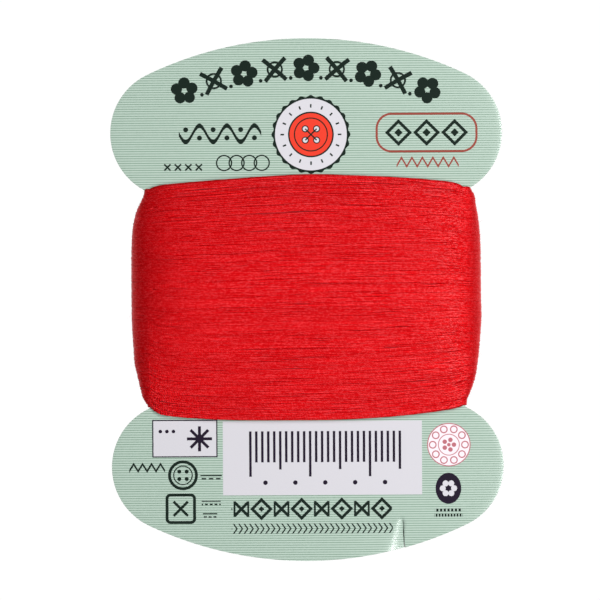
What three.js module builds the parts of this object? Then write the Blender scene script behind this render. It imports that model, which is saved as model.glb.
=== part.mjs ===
// Card of hand-sewing thread: a flat die-cut card with two rounded lobes and a notched waist,
// and one winding of fine cotton thread laid crosswise round the waist.
// Millimetres. It lies on its back: X across the card, Y up the card, Z out of the printed face.
import * as THREE from 'three';
import { ParametricGeometry } from 'three/addons/geometries/ParametricGeometry.js';

// ---- driving dimensions ----
const cardHalfHeight = 43.75;
const cardHalfWidth = 32.8;
const cardThickness = 1.0;
const crownRadius = 62; // large arc along the top and the bottom edge
const shoulderHeight = 27.95; // height above the middle at which each lobe is widest
const waistHalfWidth = 26.4; // bottom of the two side notches

// Thread slit cut in from the bottom edge to hold the free end.
const slit = { mouthX: 16.2, mouthWidth: 0.3, tipX: 15.8, tipY: -36.9 };

const clearance = 0.3; // between the card and the inside of the winding
const facePile = 3.1; // thread built up on the front and on the back of the card
const backFlattening = 0.15; // how far the pile on the back is pressed flat where it rests

// Thread built up past each notch, at the middle of the winding.
const sidePile = { left: 3.03, right: 2.77 };

// How the pile thins out towards each end of the winding: its depth at the end, as a share of the
// pile at the middle, and how late it starts to thin.
const taper = {
  top: { endShare: 0.3, power: 4.5 },
  bottom: { endShare: 0.26, power: 2.4 },
};

// The top and bottom rows of thread bow outwards. For each corner: height over the middle of the
// card, what the row has lost by the notch in its gentle sweep, the power of that sweep, and the
// height at which the row passes through the notch.
const rows = {
  top: {
    left: { middle: 20.85, sweep: 1.85, power: 1.3, notch: 18.1 },
    right: { middle: 20.85, sweep: 1.65, power: 2, notch: 18.1 },
  },
  bottom: {
    left: { middle: 19.92, sweep: 1.25, power: 3.4, notch: 16.7 },
    right: { middle: 19.92, sweep: 2.1, power: 2.2, notch: 17.2 },
  },
};
const tuckPower = 40; // the rows turn in sharply just before the notch

// Seen end on, a turn is a rounded oblong: |x / reach| ^ across + |z / half depth| ^ deep = 1. Its
// faces are nearly flat. The shoulders are round at full pile and tighter where the pile is thin.
const squareness = { across: 9, deepAtFullPile: 2, deepAtNoPile: 6, inside: 12, facets: 4 };

// Places along the notches where turns have bunched up, or lie thin. at and spread are shares of
// the winding's half height, and rise is the extra depth.
const bunches = [
  { side: 'left', at: 0.76, spread: 0.08, rise: -0.1 },
  { side: 'left', at: 0.92, spread: 0.1, rise: -0.45 },
  { side: 'left', at: -0.6, spread: 0.1, rise: 0.15 },
  { side: 'left', at: -1, spread: 0.05, rise: -0.3 },
  { side: 'right', at: 0.92, spread: 0.06, rise: 0.3 },
  { side: 'right', at: -0.2, spread: 0.12, rise: 0.1 },
  { side: 'right', at: -0.97, spread: 0.13, rise: -0.4 },
];

// ---- facets ----
const arcDivisions = 12;
const turnFacets = 96; // once round the card
const wallFacets = 30; // once round the wall of the winding

// ---- derived sizes ----
const cardHalfThickness = cardThickness / 2;
const cardMiddleZ = cardHalfThickness + facePile - backFlattening;

// The crown arc and the shoulder arc touch without a corner, which settles the shoulder's radius.
const crownCentreY = cardHalfHeight - crownRadius;
const shoulderRise = shoulderHeight - crownCentreY;
const shoulderRadius = (crownRadius ** 2 - cardHalfWidth ** 2 - shoulderRise ** 2)
  / (2 * (crownRadius - cardHalfWidth));
const shoulderX = cardHalfWidth - shoulderRadius;
const crownEnd = Math.atan2(shoulderRise, shoulderX); // angle at which the two arcs meet
const notchAngle = Math.acos((waistHalfWidth - shoulderX) / shoulderRadius);

// ---- card ----
// Clockwise outline: crown, right shoulders and waist, bottom edge with its slit, left side.
function cardOutline() {
  const slitRight = Math.acos((slit.mouthX + slit.mouthWidth / 2) / crownRadius);
  const slitLeft = Math.acos((slit.mouthX - slit.mouthWidth / 2) / crownRadius);
  const outline = new THREE.Shape();
  outline.absarc(0, crownCentreY, crownRadius, Math.PI - crownEnd, crownEnd, true);
  outline.absarc(shoulderX, shoulderHeight, shoulderRadius, crownEnd, -notchAngle, true);
  outline.absarc(shoulderX, -shoulderHeight, shoulderRadius, notchAngle, -crownEnd, true);
  outline.absarc(0, -crownCentreY, crownRadius, -crownEnd, -slitRight, true);
  outline.lineTo(slit.tipX, slit.tipY);
  outline.absarc(0, -crownCentreY, crownRadius, -slitLeft, crownEnd - Math.PI, true);
  outline.absarc(
    -shoulderX, -shoulderHeight, shoulderRadius, crownEnd - Math.PI, -Math.PI - notchAngle, true);
  outline.absarc(
    -shoulderX, shoulderHeight, shoulderRadius, Math.PI + notchAngle, Math.PI - crownEnd, true);
  outline.closePath();
  return outline;
}

function makeCard() {
  const geometry = new THREE.ExtrudeGeometry(cardOutline(), {
    depth: cardThickness,
    bevelEnabled: false,
    curveSegments: arcDivisions,
  });
  const material = new THREE.MeshStandardMaterial({ color: 0xacc1b2, roughness: 0.35, metalness: 0 });
  const card = new THREE.Mesh(geometry, material);
  card.name = 'card';
  card.position.z = cardMiddleZ - cardHalfThickness;
  return card;
}

// ---- winding ----
// Part of the way along a stretch of a 0 to 1 path, from 0 at its start to 1 at its end.
function along(value, start, end) {
  return (value - start) / (end - start);
}

// One turn round the card, from the left end over the front, the right end and the back. x is the
// share of the reach, spaced so that the facets are short at the ends, and z closes the oblong.
function turnPoint(way, reach, halfDepth, across, deep) {
  const angle = Math.PI * (1 - 2 * way);
  const x = Math.abs(Math.cos(angle)) ** (2 / squareness.facets);
  const z = Math.max(1 - x ** across, 0) ** (1 / deep);
  return {
    x: Math.sign(Math.cos(angle)) * reach * x,
    z: Math.sign(Math.sin(angle)) * halfDepth * z,
  };
}

// Share of the full pile left at height share s, from -1 at the bottom row to 1 at the top row.
function pileShare(s) {
  const end = s < 0 ? taper.bottom : taper.top;
  return end.endShare + (1 - end.endShare) * (1 - Math.abs(s) ** end.power);
}

function bunching(side, s) {
  return bunches
    .filter((bunch) => bunch.side === side)
    .reduce((sum, bunch) => sum + bunch.rise * Math.exp(-(((s - bunch.at) / bunch.spread) ** 2)), 0);
}

// Height of the top or the bottom row where it crosses x, measured away from the middle.
function rowHeight(edge, x) {
  const row = x < 0 ? edge.left : edge.right;
  const r = Math.min(Math.abs(x) / waistHalfWidth, 1);
  const tuck = row.middle - row.sweep - row.notch;
  return row.middle - row.sweep * r ** row.power - tuck * r ** tuckPower;
}

// The wall of the winding is followed up its outside, in over the top row, down its inside and
// back out under the bottom row. Gives the height share and whether it is inside or outside.
const wallStretches = [
  { until: 0.8, from: { s: -1, out: 1 }, to: { s: 1, out: 1 } },
  { until: 0.85, from: { s: 1, out: 1 }, to: { s: 1, out: 0 } },
  { until: 0.95, from: { s: 1, out: 0 }, to: { s: -1, out: 0 } },
  { until: 1, from: { s: -1, out: 0 }, to: { s: -1, out: 1 } },
];

function wallPlace(way) {
  const index = wallStretches.findIndex((stretch) => way <= stretch.until);
  const stretch = wallStretches[index];
  const start = index === 0 ? 0 : wallStretches[index - 1].until;
  const t = along(way, start, stretch.until);
  const linear = stretch.from.s + (stretch.to.s - stretch.from.s) * t;
  return {
    s: Math.sin(linear * Math.PI / 2), // closer steps near the two ends
    out: stretch.from.out + (stretch.to.out - stretch.from.out) * t,
  };
}

function windingPoint(turn, wall, target) {
  const { s, out } = wallPlace(wall);
  const inside = turnPoint(
    turn, waistHalfWidth + clearance, cardHalfThickness + clearance, squareness.inside, squareness.inside);
  const side = inside.x < 0 ? 'left' : 'right';
  const share = pileShare(s);
  const reach = waistHalfWidth + sidePile[side] * share + bunching(side, s);
  const { across, deepAtFullPile, deepAtNoPile } = squareness;
  const deep = deepAtNoPile + (deepAtFullPile - deepAtNoPile) * share;
  const outside = turnPoint(turn, reach, cardHalfThickness + facePile * share, across, deep);
  const top = rowHeight(rows.top, inside.x);
  const bottom = -rowHeight(rows.bottom, inside.x);
  const z = inside.z + (outside.z - inside.z) * out;
  target.set(
    inside.x + (outside.x - inside.x) * out,
    bottom + (top - bottom) * (s + 1) / 2,
    Math.max(z + cardMiddleZ, 0),
  );
}

function makeWinding() {
  const geometry = new ParametricGeometry(windingPoint, turnFacets, wallFacets);
  const material = new THREE.MeshStandardMaterial({ color: 0xd7141e, roughness: 0.8, metalness: 0 });
  const winding = new THREE.Mesh(geometry, material);
  winding.name = 'winding';
  return winding;
}

const threadCard = new THREE.Group();
threadCard.add(makeCard(), makeWinding());

export default threadCard;
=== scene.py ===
# Card of hand-sewing thread: a printed die-cut card wound across its waist with red cotton thread.
import math

import bpy
import numpy as np
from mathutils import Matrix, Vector
from mathutils.geometry import delaunay_2d_cdt


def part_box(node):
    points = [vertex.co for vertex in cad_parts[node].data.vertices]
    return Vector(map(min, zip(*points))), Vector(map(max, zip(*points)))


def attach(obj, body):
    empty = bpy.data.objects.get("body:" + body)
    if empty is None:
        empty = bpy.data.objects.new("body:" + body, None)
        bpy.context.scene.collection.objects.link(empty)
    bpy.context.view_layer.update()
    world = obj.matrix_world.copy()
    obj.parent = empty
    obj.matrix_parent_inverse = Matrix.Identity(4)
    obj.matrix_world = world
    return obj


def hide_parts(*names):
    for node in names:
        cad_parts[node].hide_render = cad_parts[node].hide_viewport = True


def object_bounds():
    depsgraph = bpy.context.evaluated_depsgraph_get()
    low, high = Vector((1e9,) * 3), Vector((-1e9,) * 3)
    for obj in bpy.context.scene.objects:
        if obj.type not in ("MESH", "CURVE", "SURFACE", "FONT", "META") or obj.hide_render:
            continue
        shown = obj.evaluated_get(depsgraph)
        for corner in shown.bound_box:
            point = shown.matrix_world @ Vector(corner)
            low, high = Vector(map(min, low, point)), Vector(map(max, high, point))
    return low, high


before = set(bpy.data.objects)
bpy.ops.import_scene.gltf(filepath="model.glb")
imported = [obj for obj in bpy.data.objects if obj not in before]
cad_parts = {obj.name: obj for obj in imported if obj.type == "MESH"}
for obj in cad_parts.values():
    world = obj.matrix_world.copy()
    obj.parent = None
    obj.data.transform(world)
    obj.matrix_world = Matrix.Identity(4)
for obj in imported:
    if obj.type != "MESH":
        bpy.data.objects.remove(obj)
cadLow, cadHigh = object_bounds()
print("frame loaded")

# Shapes are worked out in millimetres and put into the meshes in metres.
mm = 0.001
random = np.random.default_rng(59)
cardLow, cardHigh = (np.array(corner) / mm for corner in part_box("card"))


class Wire:
    # One output socket. Arithmetic on it adds Math nodes. & keeps where two drawn shapes overlap
    # and | joins them, as the larger and the smaller of two signed distances.
    def __init__(self, shader, socket):
        self.shader = shader
        self.socket = socket

    def math(self, operation, *others):
        return self.shader.math(operation, self, *others)

    def __add__(self, other):
        return self.math("ADD", other)

    def __sub__(self, other):
        return self.math("SUBTRACT", other)

    def __rsub__(self, other):
        return self.shader.math("SUBTRACT", other, self)

    def __mul__(self, other):
        return self.math("MULTIPLY", other)

    def __truediv__(self, other):
        return self.math("DIVIDE", other)

    def __neg__(self):
        return self.math("MULTIPLY", -1.0)

    def __abs__(self):
        return self.math("ABSOLUTE")

    def __and__(self, other):
        return self.math("MAXIMUM", other)

    def __or__(self, other):
        return self.math("MINIMUM", other)

    __radd__ = __add__
    __rmul__ = __mul__
    __rand__ = __and__
    __ror__ = __or__


class Shader:
    # A material and the nodes in it.
    def __init__(self, name):
        self.material = bpy.data.materials.new(name)
        self.material.use_nodes = True
        self.tree = self.material.node_tree
        self.tree.nodes.clear()

    def node(self, kind, settings=None, inputs=None, output=0):
        made = self.tree.nodes.new("ShaderNode" + kind)
        for name, value in (settings or {}).items():
            setattr(made, name, value)
        for name, value in (inputs or {}).items():
            if isinstance(value, Wire):
                self.tree.links.new(value.socket, made.inputs[name])
            else:
                made.inputs[name].default_value = value
        return Wire(self, made.outputs[output]) if made.outputs else None

    def math(self, operation, *values):
        return self.node("Math", {"operation": operation}, dict(enumerate(values)))

    def objectPlace(self):
        place = self.node("TexCoord", output="Object")
        return self.node("VectorMath", {"operation": "SCALE"}, {0: place, "Scale": 1 / mm})

    def split(self, vector):
        parts = self.node("SeparateXYZ", inputs={0: vector}).socket.node
        return [Wire(self, socket) for socket in parts.outputs]

    def stretch(self, vector, factors):
        return self.node("VectorMath", {"operation": "MULTIPLY"}, {0: vector, 1: factors})

    def noise(self, vector, scale, detail=2.0, roughness=0.5):
        inputs = {"Vector": vector, "Scale": scale, "Detail": detail, "Roughness": roughness}
        return self.node("TexNoise", inputs=inputs)

    def spread(self, value, low, high):
        # low where the value is 0 and high where it is 1
        return value * (high - low) + low

    def clamped(self, value):
        return self.node("Math", {"operation": "ADD", "use_clamp": True}, {0: value, 1: 0.0})

    def mixed(self, factor, first, second):
        inputs = {0: factor, 6: first, 7: second}
        return self.node("Mix", {"data_type": "RGBA"}, inputs, output=2)

    def bump(self, height, depth, normal=None):
        inputs = {"Height": height, "Strength": 1.0, "Distance": depth * mm}
        if normal:
            inputs["Normal"] = normal
        return self.node("Bump", inputs=inputs)

    def surface(self, **inputs):
        return self.node("BsdfPrincipled", inputs={name.replace("_", " "): inputs[name] for name in inputs})

    def output(self, surface):
        self.node("OutputMaterial", inputs={"Surface": surface})

    def finish(self, **inputs):
        self.output(self.surface(**inputs))
        return self.material


def srgb(red, green, blue):
    # The linear colour of a screen colour, by the standard curve.
    channels = np.array([red, green, blue]) / 255
    linear = np.where(channels > 0.04045, ((channels + 0.055) / 1.055) ** 2.4, channels / 12.92)
    return (*linear, 1.0)


def addMesh(name, points, faceGroups, materials, slots=None, uv=None, smooth=None):
    # A mesh from points in millimetres and arrays of faces, one array for each number of corners.
    mesh = bpy.data.meshes.new(name)
    corners = np.concatenate([group.ravel() for group in faceGroups])
    counts = np.concatenate([np.full(len(group), group.shape[1]) for group in faceGroups])
    mesh.vertices.add(len(points))
    mesh.vertices.foreach_set("co", (points * mm).astype(np.float32).ravel())
    mesh.loops.add(len(corners))
    mesh.loops.foreach_set("vertex_index", corners.astype(np.int32))
    mesh.polygons.add(len(counts))
    mesh.polygons.foreach_set("loop_start", (np.cumsum(counts) - counts).astype(np.int32))
    mesh.polygons.foreach_set("use_smooth", np.ones(len(counts), bool) if smooth is None else smooth)
    for material in materials:
        mesh.materials.append(material)
    if slots is not None:
        mesh.polygons.foreach_set("material_index", slots.astype(np.int32))
    if uv is not None:
        mesh.uv_layers.new(name="threadRun").uv.foreach_set("vector", uv.astype(np.float32).ravel())
    mesh.update(calc_edges=True)
    piece = bpy.data.objects.new(name, mesh)
    bpy.context.scene.collection.objects.link(piece)
    print(f"{name}: {len(points)} points, {int((counts - 2).sum())} triangles")
    return piece


def gridFaces(rows, columns, closedRows, closedColumns):
    # The four corners of each cell of a grid of rows * columns points.
    row, column = np.meshgrid(
        np.arange(rows if closedRows else rows - 1),
        np.arange(columns if closedColumns else columns - 1), indexing="ij")
    nextRow, nextColumn = (row + 1) % rows, (column + 1) % columns
    cells = [(row, column), (row, nextColumn), (nextRow, nextColumn), (nextRow, column)]
    return np.stack([(r * columns + c).ravel() for r, c in cells], axis=1)


def unit(vectors):
    # The same directions with a length of one.
    return vectors / np.maximum(np.linalg.norm(vectors, axis=-1, keepdims=True), 1e-9)


def tubes(paths, outward, radius, sides, flatness=1.0):
    # Tubes along paths [tube, step, xyz]. Each step carries a ring of points: the centre plus radius
    # times (flatness * cosine * the outward direction + sine * the direction across it).
    count, steps = paths.shape[:2]
    tangent = unit(np.gradient(paths, axis=1))
    rise = unit(outward - (outward * tangent).sum(-1, keepdims=True) * tangent)
    across = np.cross(tangent, rise)
    angle = 2 * np.pi * np.arange(sides) / sides
    outer, wide = flatness * np.cos(angle)[:, None], np.sin(angle)[:, None]
    ring = outer * rise[:, :, None] + wide * across[:, :, None]
    width = np.broadcast_to(radius, (count, steps))[:, :, None, None]
    points = (paths[:, :, None] + width * ring).reshape(-1, 3)
    first = np.arange(count) * steps * sides
    walls = (first[:, None, None] + gridFaces(steps, sides, False, True)).reshape(-1, 4)
    corner = np.arange(sides)
    startCaps = first[:, None] + corner[::-1]
    endCaps = first[:, None] + (steps - 1) * sides + corner
    return points, [walls, startCaps, endCaps]


card = {
    "crownRadius": 62.0,  # large arc along the top and the bottom edge
    "shoulderHeight": 27.95,  # height above the middle at which each lobe is widest
    "waistHalfWidth": 26.4,
    "thickness": 0.8,
    "slit": {"mouthX": 16.2, "mouthWidth": 0.03, "tipX": 15.8, "tipY": -36.9, "tipRadius": 0.01},
    "slitEdgeShare": 0.3,  # a keen blade cut the slit, so its edges are rounded less, by this share
    "outlineStep": 0.9,
    "slitStep": 0.5,
    "fillStep": 1.3,
    "fineStep": 0.3,
    "fineField": {"left": 4.0, "right": 1.6, "above": 1.2},  # how far it goes past the slit's tip
    "edgeRings": [0.35, 0.6, 0.9, 1.25],  # rows of points just inside the outline
    # the cut edge from front to back: distance in from the outline and share of the half thickness
    "edge": [
        (0.05, 1.0), (0.04, 0.9995), (0.015, 0.97), (0.004, 0.9), (0, 0.78), (0, -0.7), (0.03, -0.92),
        (0.12, -1.0)],
    "frontRows": 2,  # rows of the edge that the print covers
    "uprightRow": 4,
    "rollWidth": 1.2,  # the die has pressed the front down along the outline
    "rollDepth": 0.026,
    "lobeDroop": 0.2,  # the lobes bend back from the pull of the winding
    "sideDroop": 0.2,
    "droopFrom": 20.0,  # height over the middle at which the bend begins
    "droopFull": 30.0,
    # the board left of the slit is bent down in a soft step that wanders off the slit, and a ramp
    "flap": {
        "depth": 0.084, "width": 0.4, "tipWidth": 0.03, "near": 0.42, "far": 2.0, "length": 5.0,
        "ramp": 0.4, "reach": 9.0, "above": 0.4, "rampPower": 1.3, "stepPower": 0.12},
}
cardMiddleZ = (cardLow[2] + cardHigh[2]) / 2
cardHalf = card["thickness"] / 2
halfWidth, halfHeight = (cardHigh[:2] - cardLow[:2]) / 2
crownCentreY = halfHeight - card["crownRadius"]


def arc(centreX, centreY, radius, start, end):
    # Points along an arc, but for its last: the centre plus radius times the cosine and the sine.
    steps = max(int(radius * abs(end - start) / card["outlineStep"]), 2)
    angle = np.linspace(start, end, steps + 1)[:-1]
    return np.stack([centreX + radius * np.cos(angle), centreY + radius * np.sin(angle)], axis=1)


def straight(start, end, step):
    # Points along a line, but for its last: a growing share of the end and the rest of the start.
    steps = max(int(math.dist(start, end) / step), 1)
    share = np.arange(steps)[:, None] / steps
    return np.array(start) * (1 - share) + np.array(end) * share


def cardOutline(withSlit):
    # Anticlockwise: right waist, top lobe, left waist, bottom lobe. Crown and shoulder arcs touch
    # without a corner, which settles the shoulder's radius.
    crown, shoulderY, waist = card["crownRadius"], card["shoulderHeight"], card["waistHalfWidth"]
    rise = shoulderY - crownCentreY
    shoulder = (crown ** 2 - halfWidth ** 2 - rise ** 2) / (2 * (crown - halfWidth))
    shoulderX = halfWidth - shoulder
    crownEnd = math.atan2(rise, shoulderX)
    notch = math.acos((waist - shoulderX) / shoulder)
    notchY = shoulderY - shoulder * math.sin(notch)
    pi, step = math.pi, card["outlineStep"]
    parts = [
        straight((waist, -notchY), (waist, notchY), step),
        arc(shoulderX, shoulderY, shoulder, -notch, crownEnd),
        arc(0, crownCentreY, crown, crownEnd, pi - crownEnd),
        arc(-shoulderX, shoulderY, shoulder, pi - crownEnd, pi + notch),
        straight((-waist, notchY), (-waist, -notchY), step),
        arc(-shoulderX, -shoulderY, shoulder, pi - notch, pi + crownEnd),
    ]
    if withSlit:
        slit = card["slit"]
        left, right = (slit["mouthX"] + side * slit["mouthWidth"] / 2 for side in (-1, 1))
        mouth = [(x, -crownCentreY - math.sqrt(crown ** 2 - x ** 2)) for x in (left, right)]
        leftEnd, rightStart = (math.atan2(y + crownCentreY, x) + 2 * pi for x, y in mouth)
        tipX, tipY, tip = slit["tipX"], slit["tipY"], slit["tipRadius"]
        angle = np.linspace(pi, 0, 5)[:-1]
        parts += [
            arc(0, -crownCentreY, crown, pi + crownEnd, leftEnd),
            straight(mouth[0], (tipX - tip, tipY), card["slitStep"]),
            np.stack([tipX + tip * np.cos(angle), tipY + tip * np.sin(angle)], axis=1),
            straight((tipX + tip, tipY), mouth[1], card["slitStep"]),
            arc(0, -crownCentreY, crown, rightStart, 2 * pi - crownEnd),
        ]
    else:
        parts.append(arc(0, -crownCentreY, crown, pi + crownEnd, 2 * pi - crownEnd))
    parts.append(arc(shoulderX, -shoulderY, shoulder, -crownEnd, notch))
    return np.concatenate(parts)


def insetDirections(outline):
    # How far and which way each point moves for the whole outline to move in by one.
    edge = unit(np.roll(outline, -1, axis=0) - outline)
    normal = np.stack([-edge[:, 1], edge[:, 0]], axis=1)
    before = np.roll(normal, 1, axis=0)
    return (normal + before) / (1 + (normal * before).sum(1, keepdims=True))


def distanceTo(outline, points):
    # The shortest distance from each point to a closed outline.
    start, along = outline, np.roll(outline, -1, axis=0) - outline
    offset = points[:, None] - start[None]
    share = np.clip((offset * along).sum(2) / (along ** 2).sum(1), 0, 1)
    return np.linalg.norm(offset - share[:, :, None] * along, axis=2).min(1)


def isInside(outline, points):
    # A point is inside where a line to its right crosses the outline an odd number of times.
    (x1, y1), (x2, y2) = outline.T, np.roll(outline, -1, axis=0).T
    x, y = points[:, :1], points[:, 1:]
    spans = (y1 > y) != (y2 > y)
    rise = np.where(y1 == y2, 1.0, y2 - y1)
    return ((spans & (x < x1 + (y - y1) * (x2 - x1) / rise)).sum(1) % 2) == 1


def smoothStep(values, start, end):
    # 0 before start and 1 after end. Between them it is 3 shares squared less 2 shares cubed.
    share = np.clip((values - start) / (end - start), 0, 1)
    return share ** 2 * (3 - 2 * share)


def cardSag(x, y):
    # How far the board lies below its middle: both lobes bend back, most at their ends and sides,
    # and the corner left of the slit is bent down by a soft step across it.
    bendFrom, bendFull = card["droopFrom"], card["droopFull"]
    outside = smoothStep(np.abs(y), bendFrom, bendFull)
    reach = np.clip((np.abs(y) - bendFrom) / (halfHeight - bendFrom), 0, None)
    sag = card["lobeDroop"] * reach ** 1.5 + outside * card["sideDroop"] * (x / halfWidth) ** 2
    slit, flap = card["slit"], card["flap"]
    way = np.clip((slit["tipY"] + flap["above"] - y) / flap["length"], 0, 1.3)
    slitX = slit["tipX"] + (slit["mouthX"] - slit["tipX"]) * way
    fromSlit = slitX - x
    step = flap["near"] + (flap["far"] - flap["near"]) * way
    softness = flap["width"] * np.sqrt(way) + flap["tipWidth"]
    drop = flap["depth"] / (1 + np.exp((fromSlit - step) / softness))
    ramp = flap["ramp"] * np.clip(1 - fromSlit / flap["reach"], 0, 1) ** flap["rampPower"]
    leftOfSlit = smoothStep(fromSlit, -0.008, 0.008)
    return sag + (way ** flap["stepPower"] * drop + np.sqrt(way) * ramp) * leftOfSlit


def fillPoints(ring, plain):
    # Points inside the card: rows just inside the outline, a coarse field, and a fine one at the slit.
    slit, fine, coarse = card["slit"], card["fineStep"], card["fillStep"]
    rows = [plain + insetDirections(plain) * inset for inset in card["edgeRings"]]
    x, y = np.meshgrid(np.arange(-halfWidth, halfWidth, coarse), np.arange(-halfHeight, halfHeight, coarse))
    x = x + (np.arange(len(x)) % 2)[:, None] * coarse / 2
    field = np.stack([x.ravel(), y.ravel()], axis=1)
    field = field[distanceTo(plain, field) > card["edgeRings"][-1] + coarse / 3]
    past = card["fineField"]
    across = np.arange(slit["tipX"] - past["left"], slit["tipX"] + past["right"], fine)
    x, y = np.meshgrid(across, np.arange(-halfHeight, slit["tipY"] + past["above"], fine))
    detail = np.stack([x.ravel(), y.ravel()], axis=1)
    rows = np.concatenate([*rows, field])
    near = (rows[:, 0] > x.min() - fine) & (rows[:, 0] < x.max() + fine) & (rows[:, 1] < y.max() + fine)
    points = np.concatenate([rows[~near], detail])
    return points[isInside(ring, points) & (distanceTo(ring, points) > 0.6 * fine)]


def makeCard(materials):
    # One outline is carried down the cut edge from front to back, and both faces are filled. Each
    # point lies at the middle of the card, less its sag, plus its share of half the thickness.
    outline, plain = cardOutline(True), cardOutline(False)
    alongSlit = smoothStep(distanceTo(plain, outline), 0.2, 0.8)
    inward = insetDirections(outline) * (1 - (1 - card["slitEdgeShare"]) * alongSlit)[:, None]
    edge = np.array(card["edge"])
    frontRing = outline + inward * edge[0, 0]
    inner = fillPoints(frontRing, plain)
    count = len(outline)
    flat = np.concatenate([frontRing, inner])
    edges = np.stack([np.arange(count), (np.arange(count) + 1) % count], axis=1)
    filled = delaunay_2d_cdt([Vector(p) for p in flat], edges.tolist(), [], 1, 1e-6)
    cover = np.array(filled[2])
    flat = np.array([tuple(point) for point in filled[0]])
    inner = flat[count:]

    def place(xy, share):
        sag = cardSag(xy[:, 0], xy[:, 1])
        fromEdge = distanceTo(plain, xy)
        if share > 0:  # beside the slit the front is hardly rounded off
            share = 1 - (1 - share) * (1 - 0.8 * smoothStep(fromEdge, 0.3, 0.9))
        front = np.clip(1 - fromEdge / card["rollWidth"], 0, 1) ** 2 * card["rollDepth"]
        z = cardMiddleZ - sag + cardHalf * share - front * np.clip((share + 1) / 2, 0, 1)
        return np.column_stack([xy, z])

    rings = [place(outline + inward * inset, share) for inset, share in edge]
    fills = [place(inner, 1.0), place(inner, -1.0)]
    points = np.concatenate(rings + fills)
    wall = gridFaces(len(edge), count, False, True)[:, ::-1]
    lastRing, frontFill = (len(edge) - 1) * count, len(edge) * count
    frontIndex = np.concatenate([np.arange(count), frontFill + np.arange(len(inner))])
    backIndex = np.concatenate(
        [lastRing + np.arange(count), frontFill + len(inner) + np.arange(len(inner))])
    area = np.cross(flat[cover[:, 1]] - flat[cover[:, 0]], flat[cover[:, 2]] - flat[cover[:, 0]])
    cover[area < 0] = cover[area < 0][:, ::-1]
    front, back = frontIndex[cover], backIndex[cover[:, ::-1]]
    wallRow = np.repeat(np.arange(len(edge) - 1), count)
    upright = card["uprightRow"]
    wallSlots = np.where(wallRow < card["frontRows"], 0, np.where(wallRow <= upright, 1, 2))
    slots = np.concatenate([wallSlots, np.zeros(len(front)), np.full(len(back), 2)])
    # the narrow slopes along both edges of the cut stay crisp
    smooth = np.concatenate([wallRow == upright, np.ones(len(front) + len(back), bool)])
    return addMesh("printedCard", points, [wall, front, back], materials, slots, smooth=smooth)


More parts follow.
